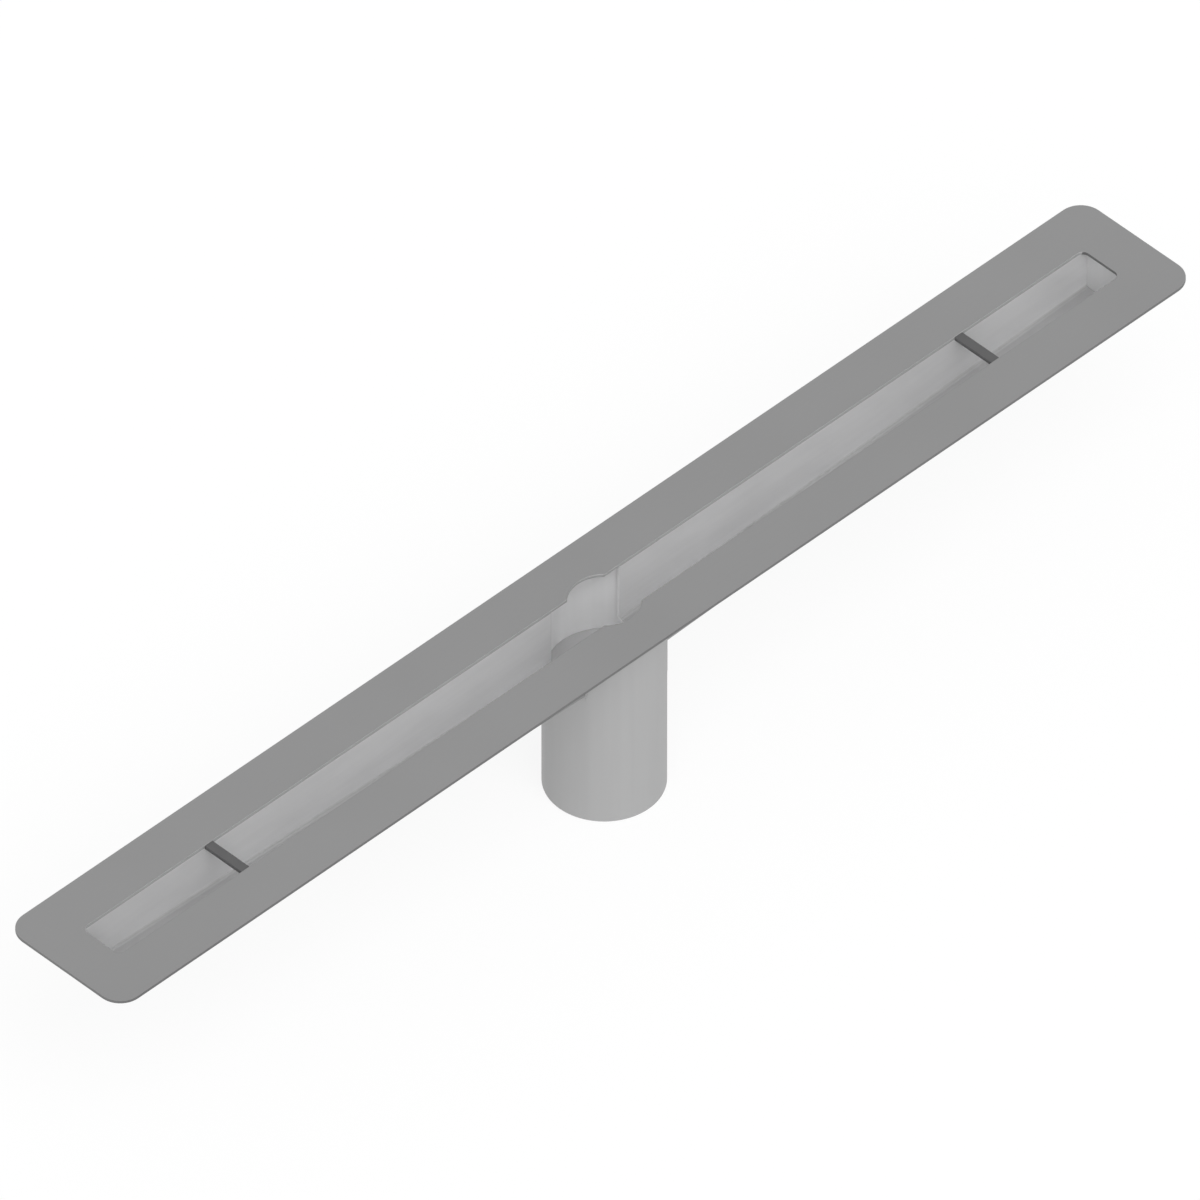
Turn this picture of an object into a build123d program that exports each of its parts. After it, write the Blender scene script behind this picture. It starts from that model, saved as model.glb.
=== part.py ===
from build123d import *
from math import atan, cos, degrees, radians, sin, sqrt
import os

os.makedirs("parts", exist_ok=True)

# Linear shower drain in millimetres. The origin is the centre of the outlet's open end, +Z is up,
# and the long axis runs along X. Depths are measured down from the flange's top face.

# Flange: one flat sheet with a long slot and a round widening over the outlet
overall_height = 98.0
flange_length = 600.0
flange_width = 65.0
flange_sheet = 1.5
flange_corner = 10.0
slot_width = 21.0
slot_end_margin = 21.0
slot_corner = 3.0

# Troughs: folded channels that fall from the closed ends to the outlet
trough_sheet = 1.5
trough_bend = 1.5
trough_end_depth = 21.4
trough_outlet_depth = 30.0
end_plate_sheet = 1.5
end_plate_setback = 2.5
spout_lip = 1.2

# Outlet tube, whose lower end is sized for a pipe's socket, and the cross bars that keep the
# slot's edges parallel
tube_diameter = 50.0
tube_wall = 1.5
spigot_length = 60.0
spigot_sizing = 0.1
spigot_shoulder = 0.5
spigot_chamfer = 0.5
cross_bar_from_slot_end = 70.0
cross_bar_width = 4.5
cross_bar_thickness = 2.0
cross_bar_recess = 0.4
cross_bar_rounding = 0.5

# Trap seat: turned ring inside the tube, with a skirt on the bore and a collar round its hole
seat_depth = 37.3
seat_sheet = 1.5
seat_skirt = 8.0
seat_collar = 6.5
seat_chamfer = 0.3

# Trap cup and its three hangers, with the water's way round it given as two ring gaps
overflow_gap = 5.5
cup_gap = 5.3
cup_wall = 1.2
cup_bevel = 4.0
cup_rim_below_seat = 13.0
cup_above_outlet_end = 13.7
hanger_count = 3
hanger_width = 6.0
hanger_sheet = 1.2
hanger_bend = 1.0
hanger_foot_clearance = 1.0
hanger_lap = 10.0

# Dip tube with a thicker neck and a collar, lifted out through the round widening, and its seal
lift_clearance = 0.5
dip_wall = 1.5
dip_neck_step = 1.2
dip_collar_step = 1.6
dip_collar_height = 2.0
dip_collar_bevel = 0.4
neck_clearance = 0.3
neck_length = 7.5
neck_taper = 1.2
dip_end_above_cup_floor = 9.0
seal_thickness = 1.8
seal_height = 1.9
seal_bevel = 0.6
groove_side_clearance = 0.15
seal_below_seat_top = 3.2

# Hair strainer, a pressed basket in the dip tube's mouth, and its wire handle
strainer_sheet = 0.8
strainer_rim_inset = 1.3
strainer_clearance = 0.3
strainer_depth = 7.0
strainer_bevel = 1.5
strainer_hole = 2.2
strainer_hole_margin = 1.0
strainer_ring_pitch = 3.4
side_slot_count = 8
side_slot_width = 1.8
side_slot_height = 3.0
handle_wire = 1.6
handle_rise = 4.0
handle_bend = 2.4


# Bevel on the inside of a bevelled corner that keeps the wall equally thick all round
def inner_bevel(outer_bevel, wall):
    return outer_bevel - (2 - sqrt(2)) * wall


# Values worked out from the driving dimensions
flange_top = overall_height
flange_underside = flange_top - flange_sheet
slot_length = flange_length - 2 * slot_end_margin
trough_outer_half = slot_width / 2 + trough_sheet
trough_end_x = slot_length / 2 + end_plate_setback
tube_radius = tube_diameter / 2
tube_body_radius = tube_radius + spigot_sizing
bore_radius = tube_radius - tube_wall
spout_x = sqrt(bore_radius**2 - trough_outer_half**2) - spout_lip
floor_fall = (trough_outlet_depth - trough_end_depth) / (trough_end_x - tube_radius)
floor_thickness = trough_sheet / cos(atan(floor_fall))
cross_bar_x = slot_length / 2 - cross_bar_from_slot_end
seat_top = flange_top - seat_depth
cup_radius = bore_radius - overflow_gap
cup_inner_radius = cup_radius - cup_wall
cup_rim = seat_top - cup_rim_below_seat
cup_floor = cup_above_outlet_end + cup_wall
cup_inner_bevel = inner_bevel(cup_bevel, cup_wall)
dip_outer_radius = cup_inner_radius - cup_gap
dip_bore_radius = dip_outer_radius - dip_wall
dip_neck_radius = dip_outer_radius + dip_neck_step
dip_collar_radius = dip_neck_radius + dip_collar_step
lift_hole_radius = dip_collar_radius + lift_clearance
seat_bore_radius = dip_neck_radius + neck_clearance
seat_collar_radius = seat_bore_radius + seat_sheet
dip_collar_top = seat_top + dip_collar_height
dip_end = cup_floor + dip_end_above_cup_floor
groove_radius = seat_bore_radius - seal_thickness
seal_middle = seat_top - seal_below_seat_top
strainer_radius = dip_bore_radius - strainer_clearance
strainer_rim_radius = dip_collar_radius - strainer_rim_inset
strainer_rim_top = dip_collar_top + strainer_sheet
strainer_floor = strainer_rim_top - strainer_depth
strainer_inner_bevel = inner_bevel(strainer_bevel, strainer_sheet)


# Height of the trough floor's upper face at a distance from the outlet's axis
def floor_height(distance):
    return flange_top - trough_end_depth - floor_fall * (trough_end_x - distance)


# Solid block with vertical sides and a sloping bottom whose long edges are rounded
def sloped_block(side, near_x, far_x, top, below_floor, half_width, bend):
    with BuildPart() as block:
        with BuildSketch(Plane.XZ):
            with BuildLine():
                Polyline(
                    (side * near_x, top),
                    (side * far_x, top),
                    (side * far_x, floor_height(far_x) - below_floor),
                    (side * near_x, floor_height(near_x) - below_floor),
                    close=True,
                )
            make_face()
        extrude(amount=half_width, both=True)
        bottom = block.faces().sort_by(Axis.Z)[0]
        fillet(bottom.edges().sort_by(SortBy.LENGTH)[-2:], radius=bend)
    return block.part


# Outer form of one trough, also used to notch the outlet tube where the trough enters it
def trough_form(side):
    outer_bend = trough_bend + trough_sheet
    return sloped_block(
        side, spout_x, trough_end_x, flange_underside, floor_thickness, trough_outer_half, outer_bend
    )


# Inner form of one trough, longer and taller than the channel so that it leaves both ends open
def trough_hollow(side):
    return sloped_block(
        side, spout_x / 2, trough_end_x + trough_sheet, flange_top, 0, slot_width / 2, trough_bend
    )


# Plane through the tube's axis, with its local X pointing outwards at the given angle
def radial_plane(angle):
    outwards = (cos(radians(angle)), sin(radians(angle)), 0)
    return Plane(origin=(0, 0, 0), x_dir=outwards, z_dir=(outwards[1], -outwards[0], 0))


def finish(piece, name):
    piece.part.label = name
    export_step(piece.part, "parts/" + name + ".step")


# Flange plate, laser cut from one sheet
with BuildPart() as flange_plate:
    with BuildSketch(Plane.XY.offset(flange_underside)):
        RectangleRounded(flange_length, flange_width, flange_corner)
        RectangleRounded(slot_length, slot_width, slot_corner, mode=Mode.SUBTRACT)
        Circle(lift_hole_radius, mode=Mode.SUBTRACT)
    extrude(amount=flange_sheet)
finish(flange_plate, "flange_plate")

# Troughs, end plates and cross bars, one of each on either side of the outlet
for side, side_name in ((-1, "left"), (1, "right")):
    with BuildPart() as trough:
        add(trough_form(side))
        add(trough_hollow(side), mode=Mode.SUBTRACT)
    finish(trough, side_name + "_trough")

    with BuildPart() as end_plate:
        with BuildSketch(Plane.YZ.offset(side * trough_end_x)):
            with BuildLine():
                plate_bottom = floor_height(trough_end_x) - floor_thickness
                Polyline(
                    (-trough_outer_half, flange_underside),
                    (-trough_outer_half, plate_bottom),
                    (trough_outer_half, plate_bottom),
                    (trough_outer_half, flange_underside),
                    close=True,
                )
            make_face()
            fillet(vertices().sort_by(Axis.Y)[:2], radius=trough_bend + trough_sheet)
        extrude(amount=side * end_plate_sheet)
    finish(end_plate, side_name + "_end_plate")

    with BuildPart() as cross_bar:
        bar_middle = flange_top - cross_bar_recess - cross_bar_thickness / 2
        with Locations((side * cross_bar_x, 0, bar_middle)):
            Box(cross_bar_width, slot_width, cross_bar_thickness)
        fillet(cross_bar.edges().filter_by(Axis.Y), radius=cross_bar_rounding)
    finish(cross_bar, side_name + "_cross_bar")

# Outlet tube, a hair thinner over the stretch that goes into a socket, and notched where the
# troughs pass through its wall
with BuildPart() as outlet_tube:
    with BuildSketch(Plane.XZ):
        with BuildLine():
            Polyline(
                (bore_radius, 0),
                (tube_radius - spigot_chamfer, 0),
                (tube_radius, spigot_chamfer),
                (tube_radius, spigot_length),
                (tube_body_radius, spigot_length + spigot_shoulder),
                (tube_body_radius, flange_underside),
                (bore_radius, flange_underside),
                close=True,
            )
        make_face()
    revolve(axis=Axis.Z)
    for side in (-1, 1):
        add(trough_form(side), mode=Mode.SUBTRACT)
finish(outlet_tube, "outlet_tube")

# Trap seat ring
with BuildPart() as trap_seat_ring:
    with BuildSketch(Plane.XZ):
        with BuildLine():
            Polyline(
                (bore_radius, seat_top - seat_skirt),
                (bore_radius, seat_top - seat_chamfer),
                (bore_radius - seat_chamfer, seat_top),
                (seat_bore_radius, seat_top),
                (seat_bore_radius, seat_top - seat_collar),
                (seat_collar_radius, seat_top - seat_collar),
                (seat_collar_radius, seat_top - seat_sheet),
                (bore_radius - seat_sheet, seat_top - seat_sheet),
                (bore_radius - seat_sheet, seat_top - seat_skirt),
                close=True,
            )
        make_face()
    revolve(axis=Axis.Z)
finish(trap_seat_ring, "trap_seat_ring")

# Trap cup, pressed from sheet with a bevelled bottom corner
with BuildPart() as trap_cup:
    with BuildSketch(Plane.XZ):
        with BuildLine():
            Polyline(
                (0, cup_above_outlet_end),
                (cup_radius - cup_bevel, cup_above_outlet_end),
                (cup_radius, cup_above_outlet_end + cup_bevel),
                (cup_radius, cup_rim),
                (cup_inner_radius, cup_rim),
                (cup_inner_radius, cup_floor + cup_inner_bevel),
                (cup_inner_radius - cup_inner_bevel, cup_floor),
                (0, cup_floor),
                close=True,
            )
        make_face()
    revolve(axis=Axis.Z)
finish(trap_cup, "trap_cup")

# Three hangers, curved straps from the seat ring's underside down the outside of the cup
hanger_top = seat_top - seat_sheet
hanger_outer_radius = cup_radius + hanger_sheet
hanger_foot_radius = seat_collar_radius + hanger_foot_clearance
hanger_arc = degrees(hanger_width / cup_radius)
for index in range(hanger_count):
    with BuildPart() as hanger:
        with BuildSketch(radial_plane(index * 360 / hanger_count - hanger_arc / 2)):
            with BuildLine():
                Polyline(
                    (hanger_foot_radius, hanger_top),
                    (hanger_outer_radius, hanger_top),
                    (hanger_outer_radius, cup_rim - hanger_lap),
                    (cup_radius, cup_rim - hanger_lap),
                    (cup_radius, hanger_top - hanger_sheet),
                    (hanger_foot_radius, hanger_top - hanger_sheet),
                    close=True,
                )
            make_face()
        revolve(axis=Axis.Z, revolution_arc=hanger_arc)
        shoulder = hanger.edges().filter_by(GeomType.CIRCLE)
        fillet(shoulder.filter_by_position(Axis.Z, hanger_top, hanger_top).sort_by(SortBy.RADIUS)[-1],
               radius=hanger_bend + hanger_sheet)
    finish(hanger, "cup_hanger_" + str(index + 1))

# Dip tube with its collar, its grooved neck and a taper down to the plain tube
with BuildPart() as dip_tube:
    neck_end = seat_top - neck_length
    groove_half = seal_height / 2 + groove_side_clearance
    with BuildSketch(Plane.XZ):
        with BuildLine():
            Polyline(
                (dip_bore_radius, dip_end),
                (dip_bore_radius, dip_collar_top),
                (dip_collar_radius - dip_collar_bevel, dip_collar_top),
                (dip_collar_radius, dip_collar_top - dip_collar_bevel),
                (dip_collar_radius, seat_top),
                (dip_neck_radius, seat_top),
                (dip_neck_radius, seal_middle + groove_half),
                (groove_radius, seal_middle + groove_half),
                (groove_radius, seal_middle - groove_half),
                (dip_neck_radius, seal_middle - groove_half),
                (dip_neck_radius, neck_end),
                (dip_outer_radius, neck_end - neck_taper),
                (dip_outer_radius, dip_end),
                close=True,
            )
        make_face()
    revolve(axis=Axis.Z)
finish(dip_tube, "dip_tube")

# Seal, shown squeezed between the groove and the seat's bore
with BuildPart() as dip_tube_seal:
    with BuildSketch(Plane.XZ):
        with Locations(((groove_radius + seat_bore_radius) / 2, seal_middle)):
            Rectangle(seal_thickness, seal_height)
        chamfer(vertices(), length=seal_bevel)
    revolve(axis=Axis.Z)
finish(dip_tube_seal, "dip_tube_seal")

# Hair strainer: rim, basket wall with upright slots, and a floor with rings of holes
with BuildPart() as hair_strainer:
    basket_radius = strainer_radius - strainer_sheet
    widest_ring = basket_radius - strainer_inner_bevel - strainer_hole_margin + strainer_hole / 2
    with BuildSketch(Plane.XZ):
        with BuildLine():
            Polyline(
                (0, strainer_floor),
                (strainer_radius - strainer_bevel, strainer_floor),
                (strainer_radius, strainer_floor + strainer_bevel),
                (strainer_radius, dip_collar_top),
                (strainer_rim_radius, dip_collar_top),
                (strainer_rim_radius, strainer_rim_top),
                (basket_radius, strainer_rim_top),
                (basket_radius, strainer_floor + strainer_sheet + strainer_inner_bevel),
                (basket_radius - strainer_inner_bevel, strainer_floor + strainer_sheet),
                (0, strainer_floor + strainer_sheet),
                close=True,
            )
        make_face()
    revolve(axis=Axis.Z)
    with BuildSketch(Plane.XY.offset(strainer_floor)):
        Circle(strainer_hole / 2)
        for ring in range(1, int(widest_ring / strainer_ring_pitch) + 1):
            with PolarLocations(ring * strainer_ring_pitch, 6 * ring):
                Circle(strainer_hole / 2)
    extrude(amount=strainer_sheet, mode=Mode.SUBTRACT)
    slot_middle = (dip_collar_top + strainer_floor + strainer_bevel) / 2
    for index in range(side_slot_count):
        slot_axis = radial_plane((index + 0.5) * 360 / side_slot_count)
        outwards = slot_axis.x_dir
        slot_plane = Plane(origin=(0, 0, slot_middle), x_dir=slot_axis.z_dir, z_dir=outwards)
        with BuildSketch(slot_plane):
            SlotOverall(side_slot_height, side_slot_width, rotation=90)
        extrude(amount=strainer_radius + strainer_sheet, mode=Mode.SUBTRACT)
finish(hair_strainer, "hair_strainer")

# Wire handle across the strainer, standing on its rim
with BuildPart() as strainer_handle:
    foot_radius = (strainer_radius + strainer_rim_radius) / 2
    bridge_height = strainer_rim_top + handle_rise
    with BuildLine(Plane.YZ) as handle_path:
        FilletPolyline(
            (-foot_radius, strainer_rim_top),
            (-foot_radius, bridge_height),
            (foot_radius, bridge_height),
            (foot_radius, strainer_rim_top),
            radius=handle_bend,
        )
    with BuildSketch(Plane.XY.offset(strainer_rim_top)):
        with Locations((0, -foot_radius)):
            Circle(handle_wire / 2)
    sweep(path=handle_path.wires()[0])
finish(strainer_handle, "strainer_handle")
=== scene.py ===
from math import asin, cos, pi, radians, sin, sqrt

import bmesh
import bpy
from mathutils import Matrix, Vector


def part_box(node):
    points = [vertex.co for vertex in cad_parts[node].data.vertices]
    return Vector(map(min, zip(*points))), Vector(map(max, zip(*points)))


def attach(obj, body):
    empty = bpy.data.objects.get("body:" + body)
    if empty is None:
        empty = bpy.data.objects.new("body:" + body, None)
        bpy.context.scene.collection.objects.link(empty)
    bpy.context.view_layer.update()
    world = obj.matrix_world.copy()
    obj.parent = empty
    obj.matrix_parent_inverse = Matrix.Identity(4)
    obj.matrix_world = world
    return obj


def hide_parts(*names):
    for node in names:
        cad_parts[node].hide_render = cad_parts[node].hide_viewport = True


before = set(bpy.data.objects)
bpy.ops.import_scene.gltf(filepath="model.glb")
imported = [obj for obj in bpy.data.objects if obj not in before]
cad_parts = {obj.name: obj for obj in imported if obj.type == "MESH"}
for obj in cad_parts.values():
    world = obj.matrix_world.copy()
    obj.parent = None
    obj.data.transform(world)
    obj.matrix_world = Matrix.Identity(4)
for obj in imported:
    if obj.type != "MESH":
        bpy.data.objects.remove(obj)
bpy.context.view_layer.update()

# Linear shower drain. Everything is in metres; mm turns a drawing size into metres.
mm = 0.001


# Materials. A tone is the base colour's grey, streaks and clouds are noise scales along x, y and z,
# depth is the height of the streaks in mm. Top and bottom are heights in mm between which a channel's
# walls go from their tone to deepPaintedLight times it, painted light that lifts the shade deep in the
# channel, and its level faces take levelPaintedShade times it, painted shade on the floor where it faces
# the light.
# The steel inside the channels, the end plates and the bore, and the trap's seat ring, is painted light:
# its tone is far above the flange top's tone to lift the shade that falls in them.

finishes = {
    "flangeSheet": {"tone": 0.297, "metallic": 1.0, "roughness": 0.46, "streaks": (8, 1600, 1600),
                    "depth": 0.010, "toneSpread": 0.05, "roughnessSpread": 0.07},
    # Inside channel steel, painted light: far lighter than the flange's top to lift the shade in the
    # channels
    "troughSheetPaintedLight": {"tone": 0.73, "metallic": 0.65, "roughness": 0.54, "streaks": (40, 500, 500),
                    "depth": 0.010, "toneSpread": 0.04, "roughnessSpread": 0.06,
                    "levelPaintedShade": 0.60, "deepPaintedLight": 1.30, "top": 96.5, "bottom": 72},
    # Inside of the end plates, painted light in the same way
    "endSheetPaintedLight": {"tone": 0.745, "metallic": 0.65, "roughness": 0.54, "streaks": (500, 500, 40),
                 "depth": 0.010, "toneSpread": 0.04, "roughnessSpread": 0.06},
    "outerSheet": {"tone": 0.34, "metallic": 0.85, "roughness": 0.50, "streaks": (40, 900, 900),
                   "depth": 0.010, "toneSpread": 0.04, "roughnessSpread": 0.06},
    "tubeSkin": {"tone": 0.362, "metallic": 0.40, "roughness": 0.52, "streaks": (420, 420, 9),
                 "depth": 0.010, "toneSpread": 0.05, "roughnessSpread": 0.06, "clouds": (110, 110, 3)},
    # Inside of the bore, painted light to lift the shade in the tube
    "boreSkinPaintedLight": {"tone": 0.82, "metallic": 0.45, "roughness": 0.55, "streaks": (420, 420, 9),
                 "depth": 0.010, "toneSpread": 0.03, "roughnessSpread": 0.06, "clouds": (110, 110, 3),
                 "levelPaintedShade": 1.0, "deepPaintedLight": 1.20, "top": 92, "bottom": 62},
    "turnedSteel": {"tone": 0.60, "metallic": 0.75, "roughness": 0.44, "streaks": (30, 30, 900),
                    "depth": 0.010, "toneSpread": 0.04, "roughnessSpread": 0.06},
    # Trap seat ring, painted light to lift the shade deep in the bore
    "seatSteelPaintedLight": {"tone": 0.53, "metallic": 0.8, "roughness": 0.44, "streaks": (30, 30, 900),
                  "depth": 0.010, "toneSpread": 0.04, "roughnessSpread": 0.06},
    # Cut faces along the slot, painted light that lifts their shade to the flange top's grey
    "slotEdgePaintedLight": {"tone": 0.50, "metallic": 0.65, "roughness": 0.56, "streaks": (700, 700, 30),
                 "depth": 0.020, "toneSpread": 0.06, "roughnessSpread": 0.06},
    # Dark cut edges of the rim, also used as painted shade at the slot's ends
    "cutEdgeAndShade": {"tone": 0.235, "metallic": 1.0, "roughness": 0.62, "streaks": (700, 700, 30),
                "depth": 0.030, "toneSpread": 0.12, "roughnessSpread": 0.08},
    "weldMetal": {"tone": 0.36, "metallic": 0.75, "roughness": 0.52, "streaks": (160, 160, 160),
                  "depth": 0.010, "toneSpread": 0.10, "roughnessSpread": 0.08},
}


def newMaterial(name):
    material = bpy.data.materials.new(name)
    material.use_nodes = True
    nodes = material.node_tree.nodes
    nodes.clear()
    output = nodes.new("ShaderNodeOutputMaterial")
    shader = nodes.new("ShaderNodeBsdfPrincipled")
    material.node_tree.links.new(shader.outputs[0], output.inputs[0])
    return material, nodes, material.node_tree.links, shader


def mappedNoise(nodes, links, scale, detail, coordinates):
    mapping = nodes.new("ShaderNodeMapping")
    mapping.inputs["Scale"].default_value = scale
    noise = nodes.new("ShaderNodeTexNoise")
    noise.inputs["Scale"].default_value = 1
    noise.inputs["Detail"].default_value = detail
    links.new(coordinates.outputs["Object"], mapping.inputs["Vector"])
    links.new(mapping.outputs[0], noise.inputs["Vector"])
    return noise.outputs["Fac"]


def remap(nodes, links, value, source, target):
    ramp = nodes.new("ShaderNodeMapRange")
    ramp.inputs["From Min"].default_value = source[0]
    ramp.inputs["From Max"].default_value = source[1]
    ramp.inputs["To Min"].default_value = target[0]
    ramp.inputs["To Max"].default_value = target[1]
    links.new(value, ramp.inputs["Value"])
    return ramp.outputs[0]


def calculate(nodes, links, operation, first, second):
    result = nodes.new("ShaderNodeMath")
    result.operation = operation
    for socket, part in zip(result.inputs, (first, second)):
        if isinstance(part, float):
            socket.default_value = part
        else:
            links.new(part, socket)
    return result.outputs[0]


noiseBand = (0.25, 0.75)  # the part of the noise's range that is used


def mixTones(nodes, links, factor, darkTone, lightTone):
    mix = nodes.new("ShaderNodeMix")
    mix.data_type = "RGBA"
    mix.inputs["A"].default_value = (*darkTone, 1)
    mix.inputs["B"].default_value = (*lightTone, 1)
    links.new(factor, mix.inputs["Factor"])
    return mix.outputs["Result"]


# Over this range of a face's upward normal the painted shade of level faces comes in
wallToFloor = (0.1, 0.75)  # upward part of a face's normal, from wall to level floor


# Painted shade and light on a channel's sheet: darker where it lies level, as painted shade on the floor
# that faces the light, and brighter low on its walls, as painted light against the shade deep in the
# channel
def channelPaintedShading(nodes, links, coordinates, tones, look):
    height = nodes.new("ShaderNodeSeparateXYZ")
    links.new(coordinates.outputs["Object"], height.inputs[0])
    depths = (look["top"] * mm, look["bottom"] * mm)
    deep = remap(nodes, links, height.outputs["Z"], depths, (1, look["deepPaintedLight"]))
    facing = nodes.new("ShaderNodeNewGeometry")
    upward = nodes.new("ShaderNodeSeparateXYZ")
    links.new(facing.outputs["Normal"], upward.inputs[0])
    levelShadeRange = (1, look["levelPaintedShade"] / look["deepPaintedLight"])
    level = remap(nodes, links, upward.outputs["Z"], wallToFloor, levelShadeRange)
    scaled = nodes.new("ShaderNodeVectorMath")
    scaled.operation = "SCALE"
    links.new(tones, scaled.inputs[0])
    links.new(calculate(nodes, links, "MULTIPLY", deep, level), scaled.inputs["Scale"])
    return scaled.outputs[0]


# The height of a noise as bumps of so many mm
def addBumps(nodes, links, shader, height, depth, strength):
    bump = nodes.new("ShaderNodeBump")
    bump.inputs["Strength"].default_value = strength
    bump.inputs["Distance"].default_value = depth * mm
    links.new(height, bump.inputs["Height"])
    links.new(bump.outputs[0], shader.inputs["Normal"])


sheetPattern = {"clouds": (14, 14, 14), "streakShare": 0.55, "cloudShare": 0.45, "blueTint": 1.004,
                "bumpStrength": 0.5}


# Sheet steel: long fine streaks in tone, roughness and height, over a slow cloudy change of tone
def steel(name):
    look = finishes[name]
    material, nodes, links, shader = newMaterial(name)
    coordinates = nodes.new("ShaderNodeTexCoord")
    streaks = mappedNoise(nodes, links, look["streaks"], 6, coordinates)
    clouds = mappedNoise(nodes, links, look.get("clouds", sheetPattern["clouds"]), 2, coordinates)
    streakPart = calculate(nodes, links, "MULTIPLY", streaks, sheetPattern["streakShare"])
    cloudPart = calculate(nodes, links, "MULTIPLY", clouds, sheetPattern["cloudShare"])
    pattern = calculate(nodes, links, "ADD", streakPart, cloudPart)
    low = look["tone"] * (1 - look["toneSpread"])
    high = look["tone"] * (1 + look["toneSpread"])
    factor = remap(nodes, links, pattern, noiseBand, (0, 1))
    tint = sheetPattern["blueTint"]
    tones = mixTones(nodes, links, factor, (low, low, low * tint), (high, high, high * tint))
    if "levelPaintedShade" in look:
        tones = channelPaintedShading(nodes, links, coordinates, tones, look)
    links.new(tones, shader.inputs["Base Color"])
    smoothest = look["roughness"] - look["roughnessSpread"]
    roughest = look["roughness"] + look["roughnessSpread"]
    links.new(remap(nodes, links, streaks, noiseBand, (smoothest, roughest)), shader.inputs["Roughness"])
    shader.inputs["Metallic"].default_value = look["metallic"]
    addBumps(nodes, links, shader, streaks, look["depth"], sheetPattern["bumpStrength"])
    return material


mouldings = {
    "barPlastic": {"tone": (0.070, 0.070, 0.071), "roughness": 0.55, "grain": 2600, "grainDepth": 0.020},
    "trapPlastic": {"tone": (0.42, 0.43, 0.44), "roughness": 0.42, "grain": 1800, "grainDepth": 0.008},
    "sealRubber": {"tone": (0.030, 0.030, 0.031), "roughness": 0.62, "grain": 1500, "grainDepth": 0.012},
}
mouldPattern = {"mottle": 120, "toneSpread": 0.07, "roughnessSpread": 0.06, "bumpStrength": 0.6}


# Moulded plastic or rubber: a fine eroded grain and a faint mottling
def moulding(name):
    look = mouldings[name]
    material, nodes, links, shader = newMaterial(name)
    coordinates = nodes.new("ShaderNodeTexCoord")
    grain = mappedNoise(nodes, links, (look["grain"],) * 3, 2, coordinates)
    mottle = mappedNoise(nodes, links, (mouldPattern["mottle"],) * 3, 3, coordinates)
    dark = tuple((1 - mouldPattern["toneSpread"]) * part for part in look["tone"])
    light = tuple((1 + mouldPattern["toneSpread"]) * part for part in look["tone"])
    factor = remap(nodes, links, mottle, noiseBand, (0, 1))
    links.new(mixTones(nodes, links, factor, dark, light), shader.inputs["Base Color"])
    smoothest = look["roughness"] - mouldPattern["roughnessSpread"]
    roughest = look["roughness"] + mouldPattern["roughnessSpread"]
    links.new(remap(nodes, links, grain, noiseBand, (smoothest, roughest)), shader.inputs["Roughness"])
    addBumps(nodes, links, shader, grain, look["grainDepth"], mouldPattern["bumpStrength"])
    return material


materials = {name: steel(name) for name in finishes}
materials.update({name: moulding(name) for name in mouldings})
print("materials:", len(materials))


# Pieces taken from the frame and given eased edges. Ease is the width of the bevel in mm, the skins
# are the materials of the piece's faces, and edges between the two heights of keptSharp stay sharp.

easedPieces = {
    "flange": {"node": "flange_plate", "ease": 0.18, "slot": "stainless",
               "skins": ("flangeSheet", "cutEdgeAndShade", "slotEdgePaintedLight"), "sort": "flange"},
    "troughLeft": {"node": "left_trough", "ease": 0.15, "slot": "stainless",
                   "skins": ("troughSheetPaintedLight", "outerSheet", "boreSkinPaintedLight"), "sort": "trough"},
    "troughRight": {"node": "right_trough", "ease": 0.15, "slot": "stainless",
                    "skins": ("troughSheetPaintedLight", "outerSheet", "boreSkinPaintedLight"), "sort": "trough"},
    "endPlateLeft": {"node": "left_end_plate", "ease": 0.15, "slot": "stainless",
                     "skins": ("endSheetPaintedLight", "outerSheet"), "sort": "endPlate"},
    "endPlateRight": {"node": "right_end_plate", "ease": 0.15, "slot": "stainless",
                      "skins": ("endSheetPaintedLight", "outerSheet"), "sort": "endPlate"},
    "outletTube": {"node": "outlet_tube", "ease": 0.12, "keptSharp": (1, 100), "slot": "stainless",
                   "skins": ("tubeSkin", "boreSkinPaintedLight"), "sort": "tube"},
    "crossBarLeft": {"node": "left_cross_bar", "ease": 0.10,
                     "skins": ("barPlastic",), "slot": "bar_plastic"},
    "crossBarRight": {"node": "right_cross_bar", "ease": 0.10,
                      "skins": ("barPlastic",), "slot": "bar_plastic"},
    "trapSeatRing": {"node": "trap_seat_ring", "ease": 0.10,
                     "skins": ("seatSteelPaintedLight",), "slot": "stainless"},
    "trapCup": {"node": "trap_cup", "ease": 0.15, "skins": ("turnedSteel",), "slot": "stainless"},
    "cupHanger1": {"node": "cup_hanger_1", "ease": 0.15, "skins": ("troughSheetPaintedLight",), "slot": "stainless"},
    "cupHanger2": {"node": "cup_hanger_2", "ease": 0.15, "skins": ("troughSheetPaintedLight",), "slot": "stainless"},
    "cupHanger3": {"node": "cup_hanger_3", "ease": 0.15, "skins": ("troughSheetPaintedLight",), "slot": "stainless"},
    "dipTube": {"node": "dip_tube", "ease": 0.12, "skins": ("trapPlastic",), "slot": "trap_plastic"},
    "dipTubeSeal": {"node": "dip_tube_seal", "ease": 0.10,
                    "skins": ("sealRubber",), "slot": "seal_rubber"},
    "hairStrainer": {"node": "hair_strainer", "ease": 0.06,
                     "skins": ("turnedSteel",), "slot": "stainless"},
    "strainerHandle": {"node": "strainer_handle", "ease": 0.05,
                       "skins": ("turnedSteel",), "slot": "stainless"},
}
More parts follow.
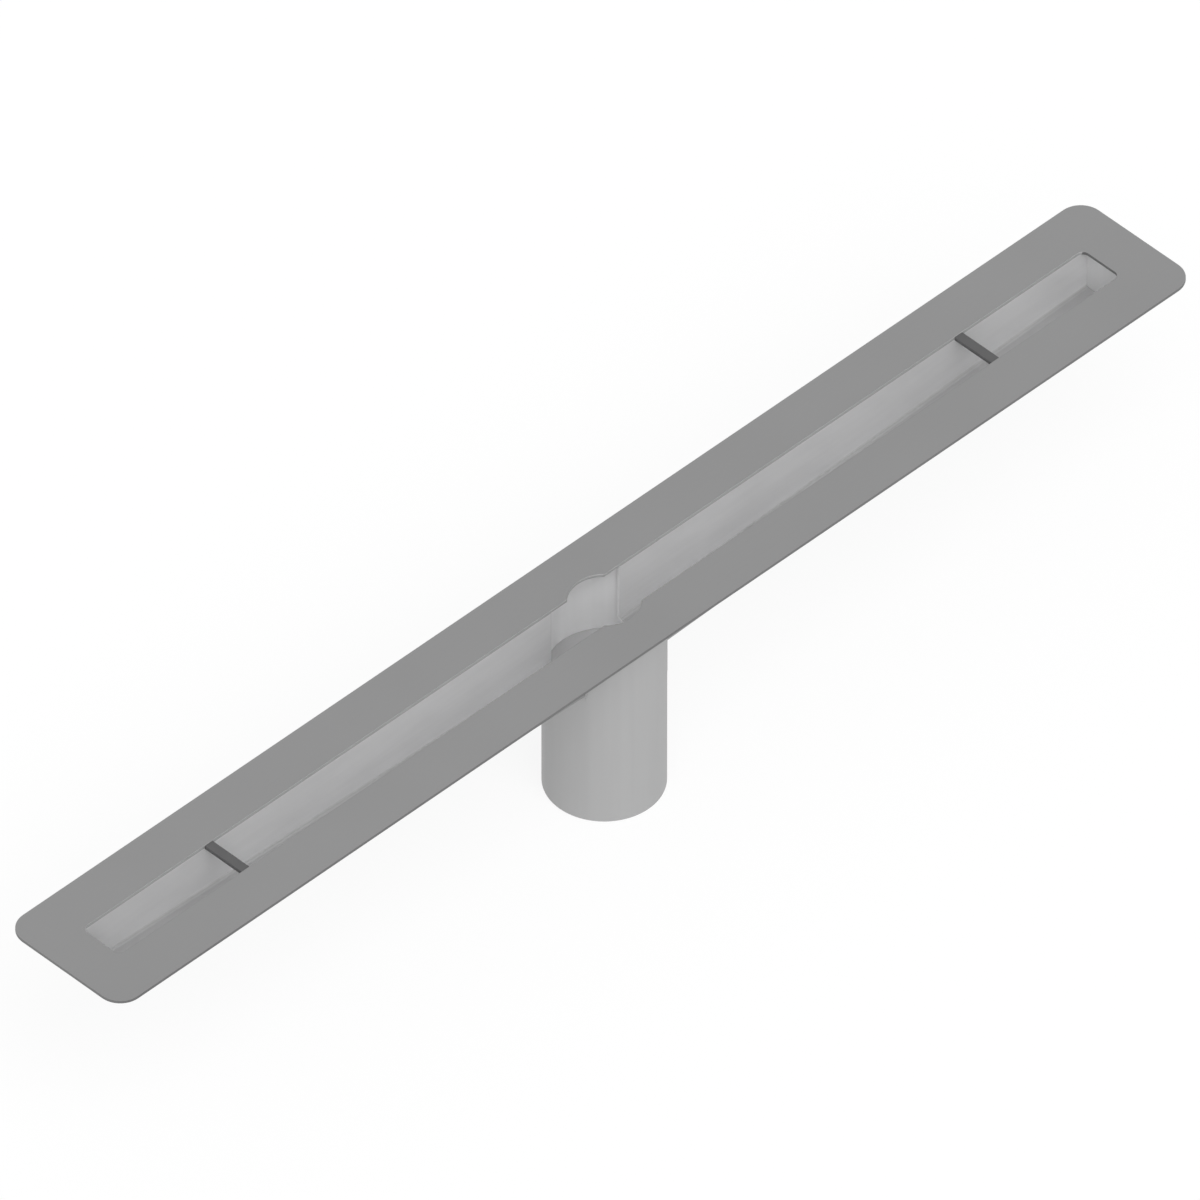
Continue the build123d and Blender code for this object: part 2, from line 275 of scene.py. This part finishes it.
# Places in mm, and parts of a face's normal, that tell one skin of a piece from another
skinPlaces = {"rimX": 285, "rimY": 25, "slotEndX": 270, "channelHalfWidth": 10.8, "tubeInside": -10,
              "flat": 0.5, "slotEndFacing": 0.7, "troughEndFacing": 0.5, "floorFacing": 0.3}


# The cut edges of the flange's rim are darker than those along its slot. The slot's end faces take the
# same dark steel as painted shade, and the faces along the slot take a lighter steel than the top,
# painted light that lifts their shade.
def flangeSkin(face):
    if abs(face.normal.z) > skinPlaces["flat"]:
        return 0
    middle = face.calc_center_median()
    facesEnd = abs(face.normal.x) > skinPlaces["slotEndFacing"]
    slotEnd = facesEnd and abs(middle.x) > skinPlaces["slotEndX"] * mm
    rim = abs(middle.x) > skinPlaces["rimX"] * mm or abs(middle.y) > skinPlaces["rimY"] * mm
    return 1 if slotEnd or rim else 2


# The channels, the end plates and the tube are lighter inside than outside: painted light that lifts the
# shade inside them
def troughSkin(face):
    middle = face.calc_center_median()
    if abs(face.normal.x) > skinPlaces["troughEndFacing"]:
        return 2
    if abs(face.normal.z) > skinPlaces["floorFacing"]:
        return 0 if face.normal.z > 0 and abs(middle.y) < skinPlaces["channelHalfWidth"] * mm else 1
    return 0 if middle.y * face.normal.y < 0 else 1


def endPlateSkin(face):
    return 0 if face.calc_center_median().x * face.normal.x < 0 else 1


def tubeSkin(face):
    middle = face.calc_center_median()
    return 1 if middle.x * face.normal.x + middle.y * face.normal.y < skinPlaces["tubeInside"] * mm else 0


skinChoosers = {"flange": flangeSkin, "trough": troughSkin, "endPlate": endPlateSkin, "tube": tubeSkin}
easing = {"segments": 2, "merge": 0.002, "edgeAngle": 28, "flatAngle": 0.4, "sharpAngle": 50,
          "normalWeight": 80}


def addObject(name, mesh, skins):
    piece = bpy.data.objects.new(name, mesh)
    bpy.context.scene.collection.objects.link(piece)
    for skin in skins:
        mesh.materials.append(materials[skin])
    for polygon in mesh.polygons:
        polygon.use_smooth = True
    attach(piece, "root")
    return piece


def weighNormals(piece):
    weighted = piece.modifiers.new("weighted", "WEIGHTED_NORMAL")
    weighted.weight = easing["normalWeight"]
    weighted.keep_sharp = True


def easeNode(name, look):
    bm = bmesh.new()
    bm.from_mesh(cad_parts[look["node"]].data)
    bmesh.ops.remove_doubles(bm, verts=bm.verts, dist=easing["merge"] * mm)
    bmesh.ops.dissolve_limit(bm, angle_limit=radians(easing["flatAngle"]), verts=bm.verts, edges=bm.edges)
    low, high = look.get("keptSharp", (0, 0))
    hard = [edge for edge in bm.edges
            if edge.is_manifold and edge.calc_face_angle() > radians(easing["edgeAngle"])
            and not low * mm < edge.verts[0].co.z < high * mm]
    bmesh.ops.bevel(bm, geom=hard, offset=look["ease"] * mm, offset_type="OFFSET", affect="EDGES",
                    segments=easing["segments"], profile=0.5, material=-1, clamp_overlap=True)
    if "sort" in look:
        for face in bm.faces:
            face.material_index = skinChoosers[look["sort"]](face)
    mesh = bpy.data.meshes.new(name)
    for face in bm.faces:
        face.smooth = True
    bm.to_mesh(mesh)
    bm.free()
    mesh.set_sharp_from_angle(angle=radians(easing["sharpAngle"]))
    piece = addObject(name, mesh, look["skins"])
    weighNormals(piece)
    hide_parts(look["node"])
    return piece


for name, look in easedPieces.items():
    piece = easeNode(name, look)
    print("piece:", name, len(piece.data.polygons), "faces")


# Weld beads along the seams, each a rippled rope laid in the corner between two sheets. Lengths and
# the four beads' radii are in mm; a bead swells from tipSize over its first tipPoints points.

welds = {"collar": 0.7, "crown": 1.0, "end": 0.8, "stitch": 0.8, "pitch": 1.5, "ripple": 0.06,
         "sides": 12, "step": 0.25, "stitchLength": 14, "stitchGap": 34, "firstStitch": 44,
         "stitches": 5, "tipSize": 0.35, "tipPoints": 5, "outerBend": 3}


# Points every step along a line, a bend and so on round a U from one top edge to the other
def aroundU(half, top, bottom, bend):
    step = welds["step"] * mm
    side = [(-half, top - k * step) for k in range(int((top - bottom - bend) / step))]
    turns = int(bend * pi / 2 / step) + 1
    angles = [k / turns * pi / 2 for k in range(turns)]
    corner = [(bend - half - bend * cos(angle), bottom + bend - bend * sin(angle)) for angle in angles]
    across = int((half - bend) / step)
    base = [(bend - half + k * (half - bend) / across, bottom) for k in range(across)]
    left = side + corner + base
    return left + [(0, bottom)] + [(-y, z) for y, z in reversed(left)]


# The extrusions number a bead's parts differently on each run, and this gives them one order
def putInOrder(parts, place):
    ranks = {part: rank for rank, part in enumerate(sorted(parts, key=place))}
    parts.sort(key=ranks.get)
    parts.index_update()


def bead(name, path, radius):
    path = [Vector(point) for point in path]
    bm = bmesh.new()
    bmesh.ops.create_circle(bm, cap_ends=True, segments=welds["sides"], radius=1)
    tip = bm.faces[:]
    place = Matrix()
    heading = Vector((0, 0, 1))
    turned = Matrix()
    walked = 0
    for index, point in enumerate(path):
        ahead = path[min(index + 1, len(path) - 1)] - path[max(index - 1, 0)]
        walked += (point - path[max(index - 1, 0)]).length
        turned = heading.rotation_difference(ahead).to_matrix().to_4x4() @ turned
        heading = ahead
        toEnd = min(index, len(path) - 1 - index) / welds["tipPoints"]
        swell = welds["tipSize"] + (1 - welds["tipSize"]) * sqrt(min(1, toEnd))
        swell *= 1 + welds["ripple"] * sin(2 * pi * walked / (welds["pitch"] * mm))
        nextPlace = Matrix.Translation(point) @ turned @ Matrix.Scale(radius * swell, 4)
        if index:
            rim = [edge for face in tip for edge in face.edges]
            grown = bmesh.ops.extrude_face_region(bm, geom=tip + rim)["geom"]
            tip = [part for part in grown if isinstance(part, bmesh.types.BMFace)]
        ring = {vert for face in tip for vert in face.verts}
        bmesh.ops.transform(bm, matrix=nextPlace @ place.inverted(), verts=list(ring))
        place = nextPlace
    bmesh.ops.recalc_face_normals(bm, faces=bm.faces)
    putInOrder(bm.verts, lambda vert: tuple(vert.co))
    putInOrder(bm.edges, lambda edge: sorted(vert.index for vert in edge.verts))
    putInOrder(bm.faces, lambda face: sorted(vert.index for vert in face.verts))
    mesh = bpy.data.meshes.new(name)
    bm.to_mesh(mesh)
    bm.free()
    return addObject(name, mesh, ("weldMetal",))


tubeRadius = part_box("outlet_tube")[1].x
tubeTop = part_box("outlet_tube")[1].z
outerBend = welds["outerBend"] * mm
for side, sideName in ((-1, "Left"), (1, "Right")):
    low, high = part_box(sideName.lower() + "_trough")
    collar = [(side * sqrt(tubeRadius ** 2 - y ** 2), y, z)
              for y, z in aroundU(high.y, tubeTop, low.z, outerBend)]
    bead("collarWeld" + sideName, collar, welds["collar"] * mm)
    plateLow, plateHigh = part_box(sideName.lower() + "_end_plate")
    seamX = plateLow.x if side > 0 else plateHigh.x
    seam = [(seamX, y, z) for y, z in aroundU(plateHigh.y, plateHigh.z, plateLow.z, outerBend)]
    bead("endWeld" + sideName, seam, welds["end"] * mm)
    half = asin(high.y / tubeRadius)
    count = int((pi - 2 * half) * tubeRadius / (welds["step"] * mm))
    crown = [half + (pi - 2 * half) * k / count for k in range(count + 1)]
    bead("crownWeld" + sideName,
         [(tubeRadius * cos(angle), side * tubeRadius * sin(angle), tubeTop) for angle in crown],
         welds["crown"] * mm)
    for row, y in ((1, -high.y), (2, high.y)):
        for index in range(welds["stitches"]):
            start = welds["firstStitch"] + index * (welds["stitchLength"] + welds["stitchGap"])
            steps = int(welds["stitchLength"] / welds["step"])
            line = [(side * (start + k * welds["step"]) * mm, y, tubeTop) for k in range(steps)]
            bead("stitchWeld%s%d%d" % (sideName, row, index + 1), line, welds["stitch"] * mm)
print("weld beads laid")


# Floor, light and camera

# Sizes in metres: the floor's edge, and the ring over which it goes from its own white to pure white
stageLook = {"floorSize": 40.0, "floorTone": 0.86, "floorWhite": 0.86, "fadeStart": 0.55, "fadeEnd": 1.1}
bpy.ops.mesh.primitive_plane_add(size=stageLook["floorSize"], location=(0, 0, 0))
floor = bpy.context.object
floor.name = "floor"

floorMaterial = bpy.data.materials.new("floorPaper")
floorMaterial.use_nodes = True
floorNodes = floorMaterial.node_tree.nodes
floorLinks = floorMaterial.node_tree.links
floorNodes.clear()
floorOutput = floorNodes.new("ShaderNodeOutputMaterial")
floorDiffuse = floorNodes.new("ShaderNodeBsdfDiffuse")
floorDiffuse.inputs["Color"].default_value = (*[stageLook["floorTone"]] * 3, 1)
floorGlow = floorNodes.new("ShaderNodeEmission")
floorGlow.inputs["Strength"].default_value = 1
floorMix = floorNodes.new("ShaderNodeMixShader")
rays = floorNodes.new("ShaderNodeLightPath")
floorCoordinates = floorNodes.new("ShaderNodeTexCoord")
fromCentre = floorNodes.new("ShaderNodeVectorMath")
fromCentre.operation = "LENGTH"
floorLinks.new(floorCoordinates.outputs["Object"], fromCentre.inputs[0])
fade = remap(floorNodes, floorLinks, fromCentre.outputs["Value"],
             (stageLook["fadeStart"], stageLook["fadeEnd"]), (stageLook["floorWhite"], 1))
seen = calculate(floorNodes, floorLinks, "MAXIMUM",
                 rays.outputs["Is Camera Ray"], rays.outputs["Is Glossy Ray"])
floorLinks.new(calculate(floorNodes, floorLinks, "MULTIPLY", seen, fade), floorMix.inputs["Fac"])
floorLinks.new(floorDiffuse.outputs[0], floorMix.inputs[1])
floorLinks.new(floorGlow.outputs[0], floorMix.inputs[2])
floorLinks.new(floorMix.outputs[0], floorOutput.inputs[0])
floor.data.materials.append(floorMaterial)

# The world shines at ambient on the object and is white to the eye. Each lamp has its spread and
# its elevation in degrees, and the level direction that it comes from.
lighting = {"ambient": 0.6, "lampDistance": 3,
            "key": {"strength": 1.8, "spread": 50, "from": (-0.42, -0.91), "elevation": 50,
                    "inGloss": False},
            "low": {"strength": 1.4, "spread": 120, "from": (-0.78, -0.62), "elevation": 12,
                    "inGloss": True}}
world = bpy.data.worlds.new("studio")
bpy.context.scene.world = world
world.use_nodes = True
worldNodes = world.node_tree.nodes
worldLinks = world.node_tree.links
worldNodes.clear()
worldOutput = worldNodes.new("ShaderNodeOutputWorld")
background = worldNodes.new("ShaderNodeBackground")
background.inputs["Color"].default_value = (1, 1, 1, 1)
worldRays = worldNodes.new("ShaderNodeLightPath").outputs
shown = calculate(worldNodes, worldLinks, "MAXIMUM",
                  worldRays["Is Camera Ray"], worldRays["Is Glossy Ray"])
shown = calculate(worldNodes, worldLinks, "MAXIMUM", shown, worldRays["Is Transmission Ray"])
worldLinks.new(remap(worldNodes, worldLinks, shown, (0, 1), (lighting["ambient"], 1)),
               background.inputs["Strength"])
worldLinks.new(background.outputs[0], worldOutput.inputs[0])

for lampName in ("key", "low"):
    look = lighting[lampName]
    elevation = radians(look["elevation"])
    across = Vector((*look["from"], 0)).normalized() * cos(elevation)
    direction = Vector((across.x, across.y, sin(elevation)))
    lamp = bpy.data.lights.new(lampName, "SUN")
    lamp.energy = look["strength"]
    lamp.angle = radians(look["spread"])
    lampObject = bpy.data.objects.new(lampName, lamp)
    lampObject.rotation_euler = direction.to_track_quat("Z", "Y").to_euler()
    lampObject.location = direction * lighting["lampDistance"]
    lampObject.visible_glossy = look["inGloss"]
    bpy.context.scene.collection.objects.link(lampObject)
print("floor and lamps set")

# The lens is very long, so that the view is close to parallel. It looks at the middle of the flange's
# top, moved by aimRight and aimUp in the picture; clip is the nearest and farthest distance in metres.
cameraSet = {"azimuth": -44.69, "elevation": 43.31, "frameWidth": 475.6 * mm, "lens": 1600, "sensor": 36,
             "aimRight": -1.7 * mm, "aimUp": -0.1 * mm, "flangeTop": 98 * mm, "clip": (1, 100)}
cameraAzimuth = radians(cameraSet["azimuth"])
cameraElevation = radians(cameraSet["elevation"])
levelPart = cos(cameraElevation)
toCamera = Vector((sin(cameraAzimuth) * levelPart, -cos(cameraAzimuth) * levelPart, sin(cameraElevation)))
turn = toCamera.to_track_quat("Z", "Y")
shift = Vector((cameraSet["aimRight"], cameraSet["aimUp"], 0))
aim = Vector((0, 0, cameraSet["flangeTop"])) + turn @ shift
cameraData = bpy.data.cameras.new("camera")
cameraData.sensor_width = cameraSet["sensor"]
cameraData.lens = cameraSet["lens"]
cameraData.clip_start, cameraData.clip_end = cameraSet["clip"]
camera = bpy.data.objects.new("camera", cameraData)
camera.rotation_euler = turn.to_euler()
camera.location = aim + toCamera * cameraSet["frameWidth"] * cameraSet["lens"] / cameraSet["sensor"]
bpy.context.scene.collection.objects.link(camera)
bpy.context.scene.camera = camera
bpy.context.scene.view_settings.view_transform = "Standard"
print("camera set")
